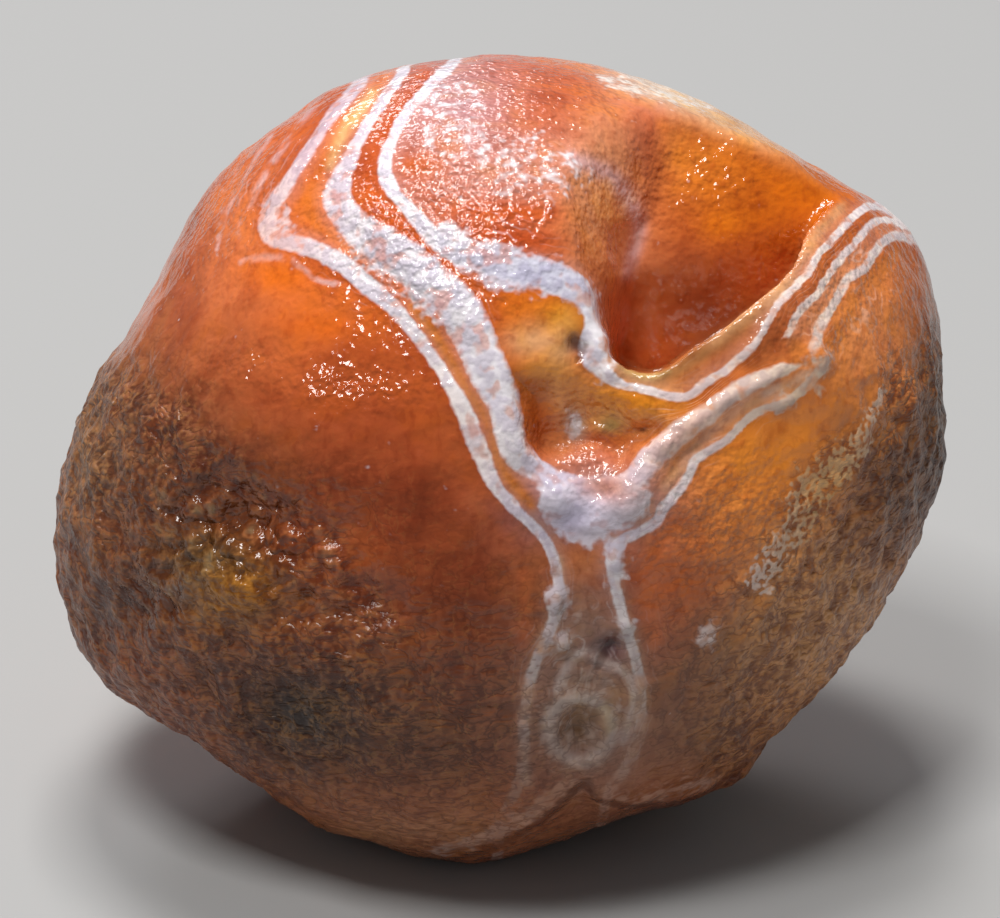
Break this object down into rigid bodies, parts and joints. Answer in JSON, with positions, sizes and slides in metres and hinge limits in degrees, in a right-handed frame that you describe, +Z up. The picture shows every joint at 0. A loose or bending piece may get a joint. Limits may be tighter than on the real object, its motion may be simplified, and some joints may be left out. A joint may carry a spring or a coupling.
{
  "type": "lake superior agate",
  "caption": "Rounded, water-worn banded stone with a scooped hollow behind a ridged brow, lying on a small flat spot.",
  "frame": {"origin": "on the surface it rests on, under the middle of the stone's bounding box", "axes": "+Z up, +X along the stone's width to the right of its banded face, -Y towards the side the banded face looks to; the face leans back 28 degrees"},
  "size_m": [0.0558, 0.044, 0.0471],
  "materials": {
    "agate": "water-worn banded chalcedony with a wet gloss, rough brown crust at both lower sides"
  },
  "bodies": {
    "root": {"agate_pebble": "agate"}
  },
  "joints": []
}
